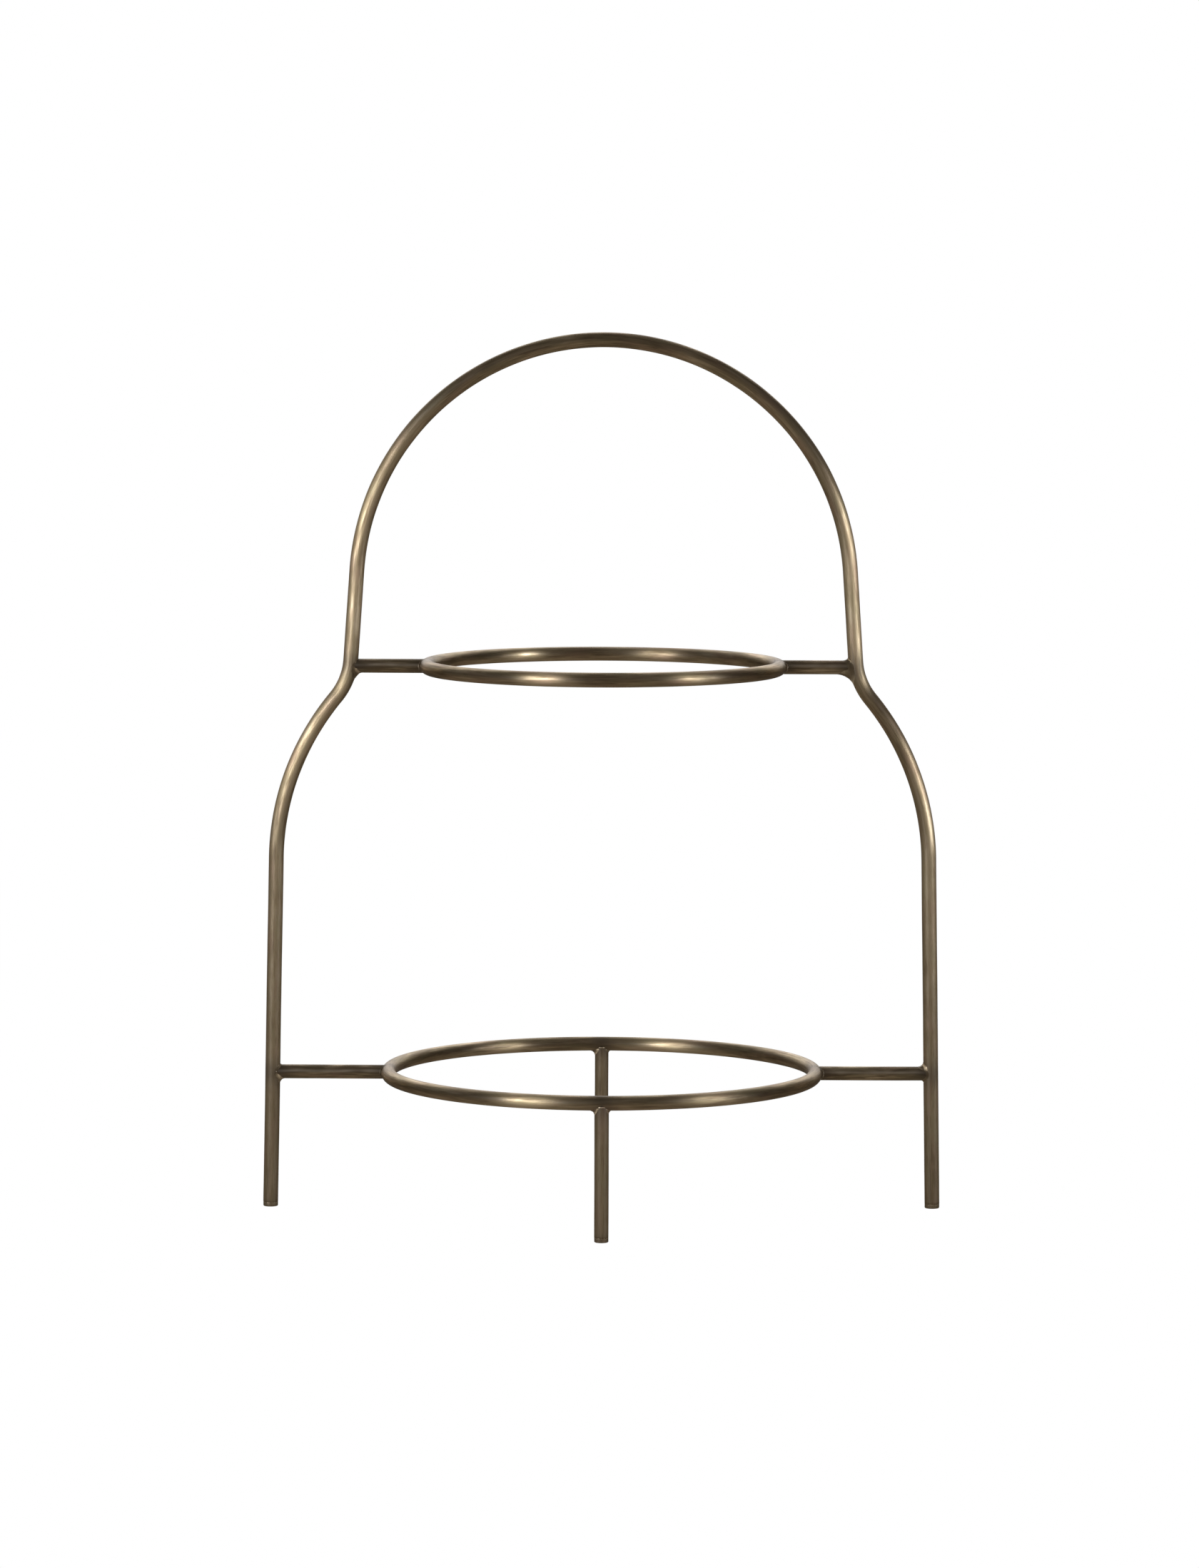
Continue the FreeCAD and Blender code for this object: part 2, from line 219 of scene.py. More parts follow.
def new_piece(name, vertices, faces, straight, stain, columns):
    """A smooth mesh object with the attributes that its material reads.

    straight is where each point was on the straight stock, before it was bent: two
    coordinates across the tube and one along it. A closed ring has two along it, so that
    its pattern closes too. stain is how dark soot and flux left it.
    The points come in rows of columns; a UV map holds the share of the way round a row.
    """
    mesh = bpy.data.meshes.new(name)
    mesh.from_pydata([tuple(v) for v in vertices], [], faces)
    round_map = mesh.uv_layers.new(name="round")
    for face in mesh.polygons:
        last = any(mesh.loops[i].vertex_index % columns == columns - 1 for i in face.loop_indices)
        for index in face.loop_indices:
            row, column = divmod(mesh.loops[index].vertex_index, columns)
            if column == 0 and last:
                column = columns
            round_map.data[index].uv = (column / columns, row * UV_ROW)
    straight = np.array([(*place, 0.0)[:4] for place in straight], np.float32)
    add_attribute(mesh, "straight", "FLOAT_VECTOR", straight[:, :3].ravel())
    add_attribute(mesh, "closing", "FLOAT", straight[:, 3].copy())
    add_attribute(mesh, "stain", "FLOAT", np.asarray(stain, np.float32))
    mesh.polygons.foreach_set("use_smooth", [True] * len(mesh.polygons))
    mesh.update()
    piece = bpy.data.objects.new(name, mesh)
    bpy.context.scene.collection.objects.link(piece)
    return piece


def grid_faces(rows, columns, wrap_rows=False):
    """Quads over rows of points that go round, such as the stations of a tube."""
    faces = []
    for row in range(rows if wrap_rows else rows - 1):
        below, above = row * columns, (row + 1) % rows * columns
        for column in range(columns):
            beside = (column + 1) % columns
            faces.append((below + column, below + beside, above + beside, above + column))
    return faces


def end_faces(rows, columns):
    """The two flat faces that close the first and the last row."""
    first = tuple(reversed(range(columns)))
    last = tuple(range((rows - 1) * columns, rows * columns))
    return [first, last]


def ripple(value, seed):
    """A slow wave between about -1 and 1, the same on every run."""
    return noise.noise(Vector((value, seed * 7.3, seed * 1.9)))


def wander(axis, distance, seed):
    """How far a tube's axis drifts and its radius swells at a distance along it.

    On a closed ring both are sums of whole waves, so that they close too.
    """
    if not axis.closed:
        return DRIFT * ripple(distance * 18, seed), SWELL * ripple(distance * 60, seed + 3)
    turn = distance / axis.length * 2 * math.pi
    waves = [math.sin(turn * k + seed) for k in (2, 3, 5)]
    return DRIFT * waves[0] + FINE_DRIFT * waves[1], RING_SWELL * waves[2]


def tube(name, axis, radius, seed, stains=(), ends=(None, None)):
    """A drawn tube along an axis, slightly uneven as a hand-bent one is.

    An end is None where a bead or another tube covers it, or the radius of its rounded
    rim. stains are (place, size) pairs, where soot darkens the tube.
    """
    stations = [(distance, 1.0) for distance in axis.along]
    if ends[0] is not None:
        stations = rim(radius, ends[0]) + stations[1:]
    if ends[1] is not None:
        tail = [(axis.length - inset, share) for inset, share in rim(radius, ends[1])]
        stations = stations[:-1] + tail[::-1]
    vertices, straight, stain = [], [], []
    for index, (distance, share) in enumerate(stations):
        if axis.closed:
            centre, across = Vector(axis.points[index]), Vector(axis.across[index])
        else:
            centre, _, across = axis.at(distance)
        side = Vector(axis.side)
        drift, swell = wander(axis, distance, seed)
        centre = centre + across * drift
        along = (distance, 0.0)
        if axis.closed:
            turn = distance / axis.length * 2 * math.pi
            along = polar((0.0, 0.0), axis.length / (2 * math.pi), turn)
        for column in range(AROUND):
            angle = 2 * math.pi * column / AROUND
            outward = across * math.cos(angle) + side * math.sin(angle)
            dent = DENT * noise.noise(
                Vector((distance * 150, math.cos(angle) * 1.2 + seed, math.sin(angle) * 1.2))
            )
            spot = centre + outward * (radius + swell + dent) * share
            vertices.append(spot)
            straight.append(
                (
                    radius * share * math.cos(angle) + seed * 0.05,
                    radius * share * math.sin(angle) + seed * 0.03,
                    along[0] + seed * 0.11,
                    along[1],
                )
            )
            stain.append(stain_at(spot, stains))
    rows = len(stations)
    faces = grid_faces(rows, AROUND, wrap_rows=axis.closed)
    if not axis.closed:
        faces += end_faces(rows, AROUND)
    return new_piece(name, vertices, faces, straight, stain, AROUND)


def rim(radius, round_over):
    """Stations of a rounded end as (distance from the end, share of the radius)."""
    steps = 5
    found = []
    for i in range(steps + 1):
        angle = math.pi / 2 * i / steps
        inset = round_over * (1 - math.sin(angle))
        found.append((round_over * (1 - math.cos(angle)), 1 - inset / radius))
    return found


def stain_at(spot, stains):
    """How much soot there is at a spot, from 0 to 1."""
    found = 0.0
    for place, size in stains:
        away = (spot - place).length / size
        found = max(found, math.exp(-away * away))
    return found


class Bead:
    """How a brazed bead runs, by the direction round the bar that it surrounds.

    The first value of a pair is for the side that the host's own direction points to.
    Reach is measured along the bar and spread over the host, both in millimetres.
    Fullness swells the bead. Lumps and soot say how rough and how dark it is.
    """

    def __init__(self, reach, spread, lap, fullness, lumps=0.12, soot=0.30, seed=1):
        self.reach, self.spread, self.lap = reach, spread, lap
        self.fullness, self.lumps, self.soot, self.seed = fullness, lumps, soot, seed


def blend_between(pair, share):
    return pair[0] * share + pair[1] * (1 - share)


def brazed_bead(name, bead, corner, bar_way, host_way, bar_radius, host_surface, host_radius):
    """A closed band that runs from the bar's surface over onto the host's surface.

    corner is where the two axes meet, bar_way leads along the bar away from the host and
    host_way along the host. host_surface(along, angle, proud) is a point on the host's
    surface, raised by proud.
    """
    side_way = bar_way.cross(host_way)
    columns, rows = 72, 15
    embed = 0.06 * MM  # how deep the band's edges lie under the surfaces that it joins
    raggedness = 0.22
    lumps_per_metre = 620
    depth_outward, depth_along = 0.9 * MM, 0.7 * MM  # of the hidden inner side
    edge_soot = 0.50
    vertices, straight, stain = [], [], []
    for row in range(rows):
        share = row / (rows - 1)
        for column in range(columns):
            angle = 2 * math.pi * column / columns
            up, front = math.cos(angle), math.sin(angle)
            top = (1 + up) / 2
            outward = host_way * up + side_way * front
            meet = math.sqrt(max(host_radius**2 - (bar_radius * front) ** 2, 0.0))
            ragged = 1 + raggedness * noise.noise(
                Vector((up * 1.6 + bead.seed, front * 1.6, bead.seed * 2.7))
            )
            reach = blend_between(bead.reach, top) * MM * ragged
            spread = blend_between(bead.spread, top) * MM * ragged
            lap = bead.lap * MM * ragged
            on_bar = corner + bar_way * (meet + reach) + outward * (bar_radius - embed)
            crease = corner + bar_way * meet + outward * bar_radius
            swell = blend_between(bead.fullness, top) * MM
            crease = crease + (outward + bar_way).normalized() * swell
            turned = math.asin(min(bar_radius / host_radius, 1.0) * front)
            on_host = host_surface(
                bar_radius * up + spread * up, turned + lap / host_radius * front, -embed
            )
            spot = (
                on_bar * (1 - share) ** 2
                + crease * 2 * share * (1 - share)
                + on_host * share**2
            )
            place = spot * lumps_per_metre + Vector((bead.seed, 0, 0))
            lump = noise.fractal(place, 0.7, 2.1, 3, noise_basis="PERLIN_ORIGINAL")
            away = (outward + bar_way * 0.8).normalized()
            spot = spot + away * lump * bead.lumps * MM * math.sin(math.pi * share)
            vertices.append(spot)
            straight.append(tuple(spot))
            edge = abs(2 * share - 1) ** 3
            stain.append(min(1.0, bead.soot + edge_soot * edge))
    for row in range(rows):  # the hidden inner side, from the host back to the bar
        share = 1 - row / (rows - 1)
        for column in range(columns):
            outer = vertices[round(share * (rows - 1)) * columns + column]
            angle = 2 * math.pi * column / columns
            outward = host_way * math.cos(angle) + side_way * math.sin(angle)
            inner = outer - outward * depth_outward - bar_way * depth_along * share
            vertices.append(inner)
            straight.append(tuple(inner))
            stain.append(1.0)
    faces = grid_faces(2 * rows, columns, wrap_rows=True)
    return new_piece(name, vertices, faces, straight, stain, columns)


def plug(where, spot, tube_radius, seed):
    """A turned foot plug: a worn bevelled head, a shoulder and the spigot in the tube.

    Its outline has extra rings beside each edge, which keep the flat faces flat.
    """
    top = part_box(f"{where}_foot_plug")[1].z
    head = tube_radius - 0.03 * MM
    spigot = tube_radius - WALL - 0.2 * MM
    bevel, soft = 0.25 * MM, 0.08 * MM
    hub = 0.15 * MM
    profile = (
        (hub, 0.0),
        (0.5 * (head - bevel), 0.0),
        (head - bevel - 2 * soft, 0.0),
        (head - bevel - soft, 0.0),
        (head - bevel, 0.03 * MM),
        (head - soft, bevel - soft),
        (head, bevel + soft),
        (head, bevel + 2 * soft),
        (head, 0.5 * TUBE_FOOT),
        (head, TUBE_FOOT - 2 * soft),
        (head, TUBE_FOOT - soft),
        (head - soft, TUBE_FOOT),
        (spigot + soft, TUBE_FOOT + 0.02 * MM),
        (spigot, TUBE_FOOT + soft),
        (spigot, top - soft),
        (spigot - soft, top),
        (hub, top),
    )
    vertices, straight, stain = [], [], []
    for radius, height in profile:
        for column in range(AROUND):
            angle = 2 * math.pi * column / AROUND
            wear = 1 + 0.012 * noise.noise(
                Vector((math.cos(angle) * 2 + seed, math.sin(angle) * 2, height * 900))
            )
            inside = radius * min(wear, 1.0)
            point = Vector((inside * math.cos(angle), inside * math.sin(angle), height))
            vertices.append(Vector((spot[0], spot[1], 0)) + point)
            straight.append(point + Vector((seed * 0.05, seed * 0.03, 0)))
            stain.append(PLUG_STAIN)
    faces = grid_faces(len(profile), AROUND) + end_faces(len(profile), AROUND)
    return new_piece(f"{where}_plug_turned", vertices, faces, straight, stain, AROUND)


def paint_highlight_line(piece, level, seed):
    """Paint a wavy bright line along the upper front of a strut: a painted highlight."""
    rise, waviness, width = 0.75 * MM, 0.35 * MM, 0.55 * MM
    painted_highlight = []
    for vertex in piece.data.vertices:
        x, y, z = vertex.co
        line = level + rise + waviness * ripple(x * 90, seed)
        strength = 0.7 + 0.5 * ripple(x * 170, seed + 5)
        near = math.exp(-(((z - line) / width) ** 2))
        painted_highlight.append(near * strength if y < 0 else 0.0)
    add_attribute(piece.data, "painted_highlight", "FLOAT", painted_highlight)


# Materials


class Nodes:
    """Shortcuts for building a node tree."""

    def __init__(self, owner):
        owner.use_nodes = True
        self.tree = owner.node_tree
        self.tree.nodes.clear()

    def add(self, kind, **settings):
        node = self.tree.nodes.new(kind)
        for name, value in settings.items():
            setattr(node, name, value)
        return node

    def link(self, output, target):
        self.tree.links.new(output, target)

    def attribute(self, name, output):
        return self.add("ShaderNodeAttribute", attribute_name=name).outputs[output]

    def stretched(self, vector, scale):
        node = self.add("ShaderNodeVectorMath", operation="MULTIPLY")
        self.link(vector, node.inputs[0])
        node.inputs[1].default_value = scale
        return node.outputs["Vector"]

    def noise(self, place, across, along, detail=3.0, roughness=0.55, distortion=0.0):
        """Noise at a place on the straight stock, by its scales across and along a tube."""
        node = self.add("ShaderNodeTexNoise", noise_dimensions="4D")
        self.link(self.stretched(place[0], (across, across, along)), node.inputs["Vector"])
        self.link(self.math("MULTIPLY", place[1], along), node.inputs["W"])
        node.inputs["Scale"].default_value = 1.0
        node.inputs["Detail"].default_value = detail
        node.inputs["Roughness"].default_value = roughness
        node.inputs["Distortion"].default_value = distortion
        return node.outputs["Fac"]

    def ranged(self, value, low, high, to_low=0.0, to_high=1.0):
        node = self.add("ShaderNodeMapRange")
        self.link(value, node.inputs["Value"])
        for name, number in (
            ("From Min", low),
            ("From Max", high),
            ("To Min", to_low),
            ("To Max", to_high),
        ):
            node.inputs[name].default_value = number
        return node.outputs["Result"]

    def bump(self, height, strength, distance, normal=None):
        node = self.add("ShaderNodeBump")
        node.inputs["Strength"].default_value = strength
        node.inputs["Distance"].default_value = distance
        self.link(height, node.inputs["Height"])
        if normal:
            self.link(normal, node.inputs["Normal"])
        return node.outputs["Normal"]

    def curve(self, value, stops):
        """Colours at set values from -1 to 1, with straight steps between them."""
        node = self.add("ShaderNodeValToRGB")
        self.link(self.ranged(value, -1.0, 1.0), node.inputs["Fac"])
        elements = node.color_ramp.elements
        while len(elements) < len(stops):
            elements.new(0.5)
        for element, (place, colour) in zip(elements, stops):
            element.position = (place + 1) / 2
            element.color = (*colour, 1.0)
        return node.outputs["Color"]

    def math(self, operation, first, second):
        node = self.add("ShaderNodeMath", operation=operation)
        for socket, value in zip(node.inputs, (first, second)):
            if isinstance(value, (int, float)):
                socket.default_value = value
            else:
                self.link(value, socket)
        return node.outputs["Value"]

    def mix(self, share, first, second, blend="MIX"):
        node = self.add("ShaderNodeMix", data_type="RGBA", blend_type=blend)
        colours = (node.inputs[6], first), (node.inputs[7], second)
        for socket, value in ((node.inputs[0], share), *colours):
            if isinstance(value, (int, float)):
                socket.default_value = value
            elif isinstance(value, tuple):
                socket.default_value = (*value, 1.0)
            else:
                self.link(value, socket)
        return node.outputs[2]


DARK_PATINA = (0.245, 0.184, 0.112)
BROWN_BRASS = (0.410, 0.324, 0.206)
RUBBED_BRASS = (0.610, 0.506, 0.358)
RED_TINT = (0.440, 0.315, 0.225)
OLIVE_TINT = (0.385, 0.335, 0.205)
SOOT = (0.110, 0.085, 0.066)
# The colour of the painted highlight line on the struts
PAINTED_HIGHLIGHT_COLOUR = (0.920, 0.830, 0.700)


def antique_brass(name, streaks=1.0, roughness=(0.34, 0.47), soot=0.8, waves=0.30, rub=0.28):
    """Lacquered brass under a brown patina, drawn and worn along the tube, with a painted
    highlight line where a piece carries one.

    streaks scales the pattern across the tube, soot how dark the stains are, waves how
    much the surface undulates along its length, and rub how unevenly it was worn.
    """
    material = bpy.data.materials.new(name)
    nodes = Nodes(material)
    straight = (nodes.attribute("straight", "Vector"), nodes.attribute("closing", "Fac"))
    stain = nodes.attribute("stain", "Fac")

    bands = nodes.noise(straight, 620 * streaks, 48, 4, 0.6, 0.25)
    lines = nodes.noise(straight, 1700 * streaks, 90, 2, 0.5)
    patches = nodes.noise(straight, 130, 34, 3, 0.55, 0.6)
    hues = nodes.noise(straight, 260, 60, 2)
    specks = nodes.noise(straight, 1500, 700, 2, 0.6)

    wear = nodes.math(
        "ADD", nodes.ranged(bands, 0.30, 0.72), nodes.ranged(lines, 0.3, 0.7, -rub, rub)
    )
    wear = nodes.math("ADD", wear, nodes.ranged(patches, 0.34, 0.68, -rub, rub))
    colour = nodes.mix(nodes.ranged(wear, 0.0, 0.5), DARK_PATINA, BROWN_BRASS)
    colour = nodes.mix(nodes.ranged(wear, 0.5, 1.2), colour, RUBBED_BRASS)
    colour = nodes.mix(nodes.ranged(hues, 0.52, 0.70, 0.0, 0.6), colour, RED_TINT)
    colour = nodes.mix(nodes.ranged(hues, 0.48, 0.32, 0.0, 0.5), colour, OLIVE_TINT)
    colour = nodes.mix(nodes.ranged(specks, 0.60, 0.76, 0.0, 0.35), colour, DARK_PATINA)
    # A painted highlight: a bright line mixed in where a piece carries that attribute
    painted_highlight = nodes.ranged(nodes.attribute("painted_highlight", "Fac"), 0.0, 1.0)
    colour = nodes.mix(painted_highlight, colour, PAINTED_HIGHLIGHT_COLOUR)
    colour = nodes.mix(nodes.math("MULTIPLY", stain, soot), colour, SOOT)

    rough = nodes.ranged(wear, 0.0, 1.0, roughness[1], roughness[0])
    rough = nodes.math("ADD", rough, nodes.math("MULTIPLY", stain, 0.06))

    fine = nodes.bump(lines, 0.2, 0.03 * MM)
    swells = nodes.noise(straight, 280, 90, 2)
    wavy = nodes.bump(swells, waves, 0.12 * MM, fine)

    shader = nodes.add("ShaderNodeBsdfPrincipled")
    shader.inputs["Metallic"].default_value = 1.0
    shader.inputs["Specular Tint"].default_value = (0.55, 0.50, 0.46, 1.0)
    shader.inputs["Anisotropic"].default_value = 0.88
    shader.inputs["Coat Weight"].default_value = 0.45
    shader.inputs["Coat Roughness"].default_value = 0.36
    tangent = nodes.add("ShaderNodeTangent", direction_type="UV_MAP", uv_map="round")
    nodes.link(tangent.outputs["Tangent"], shader.inputs["Tangent"])
    nodes.link(colour, shader.inputs["Base Color"])
    nodes.link(rough, shader.inputs["Roughness"])
    nodes.link(wavy, shader.inputs["Normal"])
    nodes.link(wavy, shader.inputs["Coat Normal"])
    output = nodes.add("ShaderNodeOutputMaterial")
    nodes.link(shader.outputs["BSDF"], output.inputs["Surface"])
    return material


def finish_piece(piece, material, node):
    piece.data.materials.append(material)
    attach(piece, "root")
    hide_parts(node)


# The stand


def hoop_joint(axis, tier, sign):
    """Where a strut's axis meets the hoop's axis."""
    upward = axis.points[axis.points[:, 0] > 0][::-1]
    x = float(np.interp(LEVEL[tier], upward[:, 2], upward[:, 0]))
    return Vector((sign * x, 0.0, LEVEL[tier]))


# Reach, spread and fullness of a bead are pairs: (upper, lower) on the hoop, (rear, front)
# on a strut's end at a ring, and (right, left) on a leg. Lap is how far it runs round its host.
HOOP_BEADS = {
    "upper_left_hoop_bead": Bead((1.0, 2.2), (0.9, 2.6), 1.6, (0.05, 0.15), seed=3),
    "upper_right_hoop_bead": Bead((3.0, 6.0), (3.0, 3.4), 2.6, (0.1, 0.2), seed=5),
    "lower_left_hoop_bead": Bead((1.6, 2.2), (0.7, 2.2), 1.5, (0.1, 0.1), seed=8),
    "lower_right_hoop_bead": Bead((3.0, 1.0), (2.7, 0.9), 2.0, (0.05, 0.1), seed=11),
}


def hoop_bead(node, axis, joint, sign):
    """The bead between a strut and the hoop."""
    start = axis.nearest(joint)
    up_sign = -sign  # the axis runs up the left side and down the right one
    way = -X_AXIS * sign
    side = way.cross(Z_AXIS)

    def surface(along, angle, proud):
        point, _, across = axis.at(start + up_sign * along)
        inward = across if across.x * sign < 0 else -across
        radius = HOOP_RADIUS + proud
        return point + inward * radius * math.cos(angle) + side * radius * math.sin(angle)

    return brazed_bead(
        f"{node}_brazed", HOOP_BEADS[node], joint, way, Z_AXIS, STRUT_RADIUS, surface, HOOP_RADIUS
    )


def ring_surface(tier, radial, host_way, bar_way):
    """The surface of a ring near a joint, as a function of arc length and angle."""
    upright = abs(bar_way.z) > 0.5  # the bar is a leg, not a strut

    def surface(along, angle, proud):
        turned = along / RING[tier]
        out = radial * math.cos(turned) + host_way * math.sin(turned)
        centre = Vector((0, 0, LEVEL[tier])) + out * RING[tier]
        radius = RING_RADIUS + proud
        if upright:
            side = out * (1 if bar_way.cross(host_way).dot(radial) > 0 else -1)
            return centre + bar_way * radius * math.cos(angle) + side * radius * math.sin(angle)
        side = bar_way.cross(host_way)
        return centre + out * radius * math.cos(angle) + side * radius * math.sin(angle)

    return surface


def ring_bead(name, tier, sign, seed):
    """The small tight bead between a strut and a ring."""
    way = X_AXIS * sign
    bead = Bead((1.3, 1.1), (1.5, 1.2), 0.8, (-0.1, 0.0), lumps=0.08, soot=0.9, seed=seed)
    surface = ring_surface(tier, way, Y_AXIS, way)
    corner = Vector((sign * RING[tier], 0, LEVEL[tier]))
    return brazed_bead(
        name, bead, corner, way, Y_AXIS, STRUT_RADIUS, surface, RING_RADIUS
    )


def leg_bead(name, sign, seed):
    """The bead between a leg and the lower ring, heavier on the left."""
    radial = Y_AXIS * sign
    down = -Z_AXIS
    bead = Bead((1.8, 2.6), (1.2, 2.4), -0.9, (0.0, 0.2), lumps=0.08, soot=0.45, seed=seed)
    surface = ring_surface("lower", radial, X_AXIS, down)
    corner = Vector((0, sign * RING["lower"], LEVEL["lower"]))
    return brazed_bead(
        name, bead, corner, down, X_AXIS, STRUT_RADIUS, surface, RING_RADIUS
    )


def ring_spot(tier, x_sign, y_sign):
    """The place on a ring's axis to the left or right, or to the front or rear."""
    return Vector((x_sign * RING[tier], y_sign * RING[tier], LEVEL[tier]))


def build_hoop(hoop, joints, metals):
    soot = [(joint, HOOP_SOOT) for joint in joints.values()]
    soot += [(Vector((sign * FOOT_X, 0, TUBE_FOOT)), FOOT_SOOT) for _, sign in SIDES]
    piece = tube("hoop_tube", hoop, HOOP_RADIUS, 1, stains=soot, ends=(RIM, RIM))
    finish_piece(piece, metals["tube"], "frame_hoop")


def build_rings(metals):
    for seed, tier in enumerate(TIERS, start=2):
        soot = [(ring_spot(tier, sign, 0), RING_SOOT) for _, sign in SIDES]
        if tier == "lower":
            soot += [(ring_spot(tier, 0, sign), RING_SOOT) for _, sign in ENDS]
        piece = tube(f"{tier}_ring_tube", ring_axis(tier), RING_RADIUS, seed, stains=soot)
        finish_piece(piece, metals["ring"], f"{tier}_ring")


def build_strut(tier, side, sign, hoop, joint, metals, seed):
    """A strut and the beads at both of its ends."""
    start = Vector((sign * (RING[tier] + STRUT_SHORT), 0, LEVEL[tier]))
    end = joint - X_AXIS * sign * STRUT_SHORT
    soot = [(start, STRUT_INNER_SOOT), (end, STRUT_OUTER_SOOT)]
    axis = straight_axis(start, end, (0, 1, 0))
    piece = tube(f"{tier}_{side}_strut_tube", axis, STRUT_RADIUS, seed, stains=soot)
    # Paints a bright highlight line along the strut's upper front
    paint_highlight_line(piece, LEVEL[tier], seed)
    finish_piece(piece, metals["strut"], f"{tier}_{side}_strut")
    node = f"{tier}_{side}_hoop_bead"
    finish_piece(hoop_bead(node, hoop, joint, sign), metals["bead"], node)
    node = f"{tier}_{side}_ring_bead"
    finish_piece(ring_bead(f"{node}_brazed", tier, sign, seed), metals["bead"], node)


def build_leg(end, sign, metals, seed):
    """The front or rear leg with its bead and its foot plug."""
    y = sign * RING["lower"]
    start = Vector((0, y, TUBE_FOOT))
    top = Vector((0, y, LEVEL["lower"] - LEG_SHORT))
    soot = [(start, FOOT_SOOT), (top, LEG_SOOT)]
    axis = straight_axis(start, top, (0, 1, 0))
    piece = tube(f"{end}_leg_tube", axis, STRUT_RADIUS, seed, stains=soot, ends=(RIM, None))
    finish_piece(piece, metals["tube"], f"{end}_leg")
    piece = leg_bead(f"{end}_leg_bead_brazed", sign, seed)
    finish_piece(piece, metals["bead"], f"{end}_leg_bead")
    piece = plug(end, (0, y), STRUT_RADIUS, seed)
    finish_piece(piece, metals["plug"], f"{end}_foot_plug")


def build_stand():
    metals = {
        "tube": antique_brass("antique_brass_tube", rub=0.38),
        "ring": antique_brass("antique_brass_ring", rub=0.36),
        "strut": antique_brass("antique_brass_strut", streaks=0.7, waves=0.9, rub=0.8),
        "bead": antique_brass(
            "antique_brass_bead", streaks=0.4, roughness=(0.47, 0.60), soot=0.7, waves=0.4
        ),
        "plug": antique_brass("antique_brass_plug", streaks=0.5, soot=0.6, rub=0.5),
    }
    hoop = Axis(hoop_axis(), (0, 1, 0))
    joints = {
        (tier, side): hoop_joint(hoop, tier, sign) for tier in TIERS for side, sign in SIDES
    }
    build_hoop(hoop, joints, metals)
    build_rings(metals)
    struts = [(tier, side, sign) for tier in TIERS for side, sign in SIDES]
    for seed, (tier, side, sign) in enumerate(struts, start=5):
        build_strut(tier, side, sign, hoop, joints[(tier, side)], metals, seed)
    for seed, (end, sign) in enumerate(ENDS, start=9):
        build_leg(end, sign, metals, seed)
    for seed, (side, sign) in enumerate(SIDES, start=11):
        piece = plug(side, (sign * FOOT_X, 0), HOOP_RADIUS, seed)
        finish_piece(piece, metals["plug"], f"{side}_foot_plug")


# The studio


CAMERA_AWAY = 2.832
CAMERA_HEIGHT = 0.4615
CAMERA_PITCH = math.radians(5.383)
CAMERA_ROLL = math.radians(0.2)
CAMERA_ASIDE = -1.5 * MM
LENS = 143.36
SENSOR = 36.0

# The light of the room by the height of a direction, from straight down to straight up
FRONT_ROOM = (
    (-1.0, (0.24, 0.205, 0.165)),
    (-0.45, (0.22, 0.186, 0.147)),
    (-0.12, (0.14, 0.118, 0.092)),
    (0.0, (0.10, 0.087, 0.072)),
    (0.30, (0.09, 0.081, 0.073)),
    (0.70, (0.10, 0.091, 0.083)),
    (1.0, (0.30, 0.285, 0.265)),
)
REAR_ROOM = (
    (-0.60, (0.16, 0.15, 0.14)),
    (-0.10, (0.28, 0.28, 0.28)),
    (0.05, (0.60, 0.60, 0.61)),
    (0.35, (2.10, 2.12, 2.15)),
    (0.60, (2.40, 2.40, 2.40)),
    (0.85, (1.60, 1.60, 1.60)),
    (1.0, (0.50, 0.50, 0.50)),
)
# How much dimmer the sides are, by how far a direction points to the rear
SIDE_DIMNESS = (
    (-1.0, (1.0, 1.0, 1.0)),
    (-0.75, (1.0, 1.0, 1.0)),
    (-0.2, (0.45, 0.45, 0.45)),
    (0.5, (0.45, 0.45, 0.45)),
)
# Where the rear wall begins and ends, by how far a direction points to the rear and up
WALL_EDGE = (0.84, 1.08)
# Upright lights: azimuth in degrees, bottom, top, width and distance in metres, strength
SOFTBOXES = (
    ("left_softbox", -39, 0.32, 1.15, 0.90, 3.0, 50),
    ("left_low", -39, 0.02, 0.32, 0.90, 3.0, 20),
    ("right_softbox", 55, 0.32, 1.00, 0.55, 3.0, 54),
    ("right_low", 66, 0.02, 0.32, 0.90, 3.0, 24),
    ("left_fill", -100, 0.90, 2.40, 1.60, 2.5, 0.5),
)


def make_camera():
    camera = bpy.data.cameras.new("camera")
    camera.sensor_width = SENSOR
    camera.lens = LENS
    camera.clip_end = 50
    viewer = bpy.data.objects.new("camera", camera)
    place = Matrix.Translation((CAMERA_ASIDE, -CAMERA_AWAY, CAMERA_HEIGHT))
    pitch = Matrix.Rotation(math.pi / 2 - CAMERA_PITCH, 4, "X")
    viewer.matrix_world = place @ pitch @ Matrix.Rotation(CAMERA_ROLL, 4, "Z")
    bpy.context.scene.collection.objects.link(viewer)
    bpy.context.scene.camera = viewer


def softbox(name, azimuth, low, high, width, away, strength):
    """An upright area light. Azimuth 0 is the camera's side and grows to the right."""
    lamp = bpy.data.lights.new(name, "AREA")
    lamp.shape = "RECTANGLE"
    lamp.size = width
    lamp.size_y = high - low
    lamp.energy = strength * width * (high - low)
    turned = math.radians(azimuth)
    spot = Vector((away * math.sin(turned), -away * math.cos(turned), (low + high) / 2))
    holder = bpy.data.objects.new(name, lamp)
    holder.location = spot
    toward = Vector((0, 0, spot.z)) - spot
    holder.rotation_euler = toward.to_track_quat("-Z", "Y").to_euler()
    holder.visible_camera = False
    bpy.context.scene.collection.objects.link(holder)


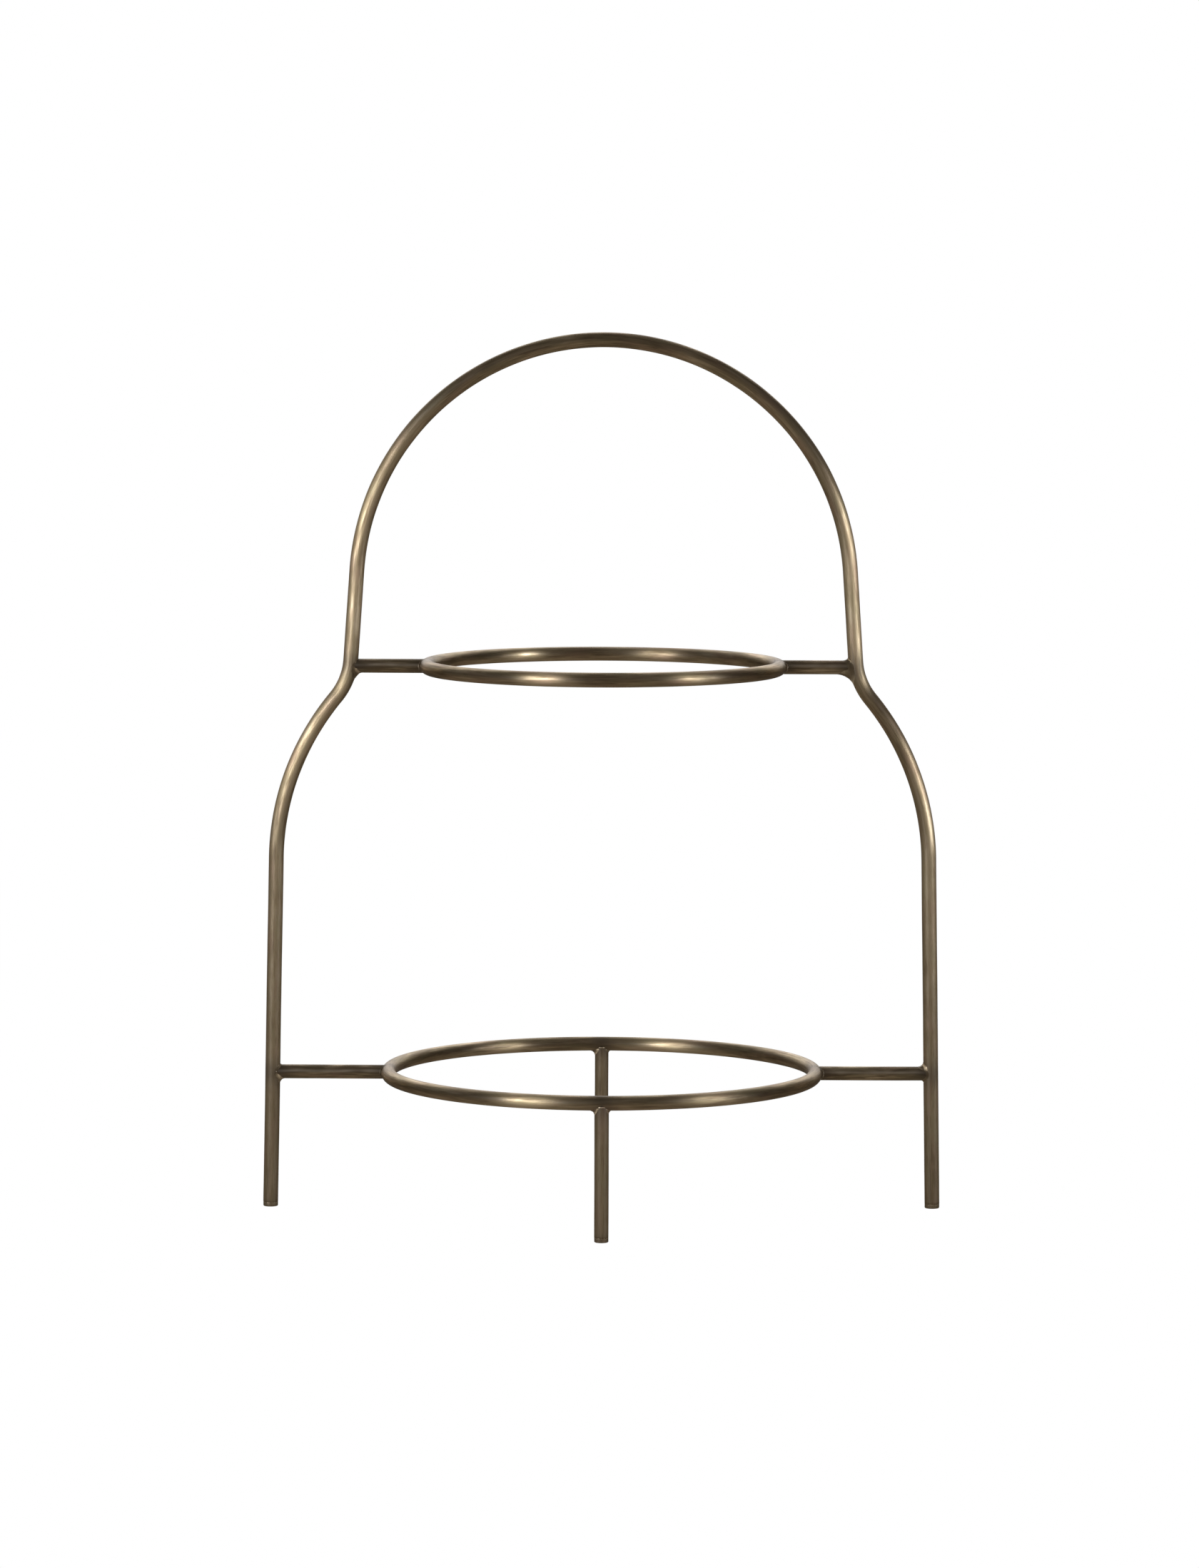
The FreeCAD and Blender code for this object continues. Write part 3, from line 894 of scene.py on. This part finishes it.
def make_world():
    """White behind the stand, and in its reflections a dim room with a pale rear wall."""
    world = bpy.data.worlds.new("studio")
    bpy.context.scene.world = world
    nodes = Nodes(world)
    way = nodes.add("ShaderNodeTexCoord").outputs["Generated"]
    split = nodes.add("ShaderNodeSeparateXYZ")
    nodes.link(way, split.inputs["Vector"])
    room = nodes.curve(split.outputs["Z"], FRONT_ROOM)
    wall = nodes.curve(split.outputs["Z"], REAR_ROOM)
    sides = nodes.curve(split.outputs["Y"], SIDE_DIMNESS)
    above = nodes.ranged(split.outputs["Z"], -0.5, 0.0)
    sides = nodes.mix(above, (1.0, 1.0, 1.0), sides)
    raised = nodes.math("MULTIPLY", split.outputs["Z"], 0.5)
    rear = nodes.ranged(nodes.math("ADD", split.outputs["Y"], raised), *WALL_EDGE)
    light = nodes.mix(rear, nodes.mix(1.0, room, sides, "MULTIPLY"), wall)
    reflected = nodes.add("ShaderNodeBackground")
    nodes.link(light, reflected.inputs["Color"])
    white = nodes.add("ShaderNodeBackground")
    white.inputs["Color"].default_value = (1, 1, 1, 1)
    mix = nodes.add("ShaderNodeMixShader")
    nodes.link(nodes.add("ShaderNodeLightPath").outputs["Is Camera Ray"], mix.inputs["Fac"])
    nodes.link(reflected.outputs["Background"], mix.inputs[1])
    nodes.link(white.outputs["Background"], mix.inputs[2])
    output = nodes.add("ShaderNodeOutputWorld")
    nodes.link(mix.outputs["Shader"], output.inputs["Surface"])


def make_floor():
    """A pale round floor that fades into the white background at its edge."""
    reach, edge = 1.6, 0.7
    mesh = bpy.data.meshes.new("floor")
    count = 96
    rings = (0.05, 0.3, edge, reach)
    vertices = [
        (r * math.cos(2 * math.pi * i / count), r * math.sin(2 * math.pi * i / count), 0)
        for r in rings
        for i in range(count)
    ]
    faces = grid_faces(len(rings), count)
    faces.append(tuple(range(count)))
    mesh.from_pydata(vertices, [], faces)
    floor = bpy.data.objects.new("floor", mesh)
    bpy.context.scene.collection.objects.link(floor)
    floor.visible_glossy = False
    material = bpy.data.materials.new("pale_floor")
    nodes = Nodes(material)
    place = nodes.add("ShaderNodeTexCoord").outputs["Object"]
    length = nodes.add("ShaderNodeVectorMath", operation="LENGTH")
    nodes.link(place, length.inputs[0])
    fade = nodes.ranged(length.outputs["Value"], edge, reach)
    paint = nodes.add("ShaderNodeEmission")
    paint.inputs["Color"].default_value = (1, 1, 1, 1)
    clear = nodes.add("ShaderNodeBsdfTransparent")
    mix = nodes.add("ShaderNodeMixShader")
    nodes.link(fade, mix.inputs["Fac"])
    nodes.link(paint.outputs["Emission"], mix.inputs[1])
    nodes.link(clear.outputs["BSDF"], mix.inputs[2])
    output = nodes.add("ShaderNodeOutputMaterial")
    nodes.link(mix.outputs["Shader"], output.inputs["Surface"])
    floor.data.materials.append(material)


def make_studio():
    bpy.context.scene.view_settings.view_transform = "Standard"
    make_camera()
    make_world()
    make_floor()
    for light in SOFTBOXES:
        softbox(*light)


build_stand()
make_studio()
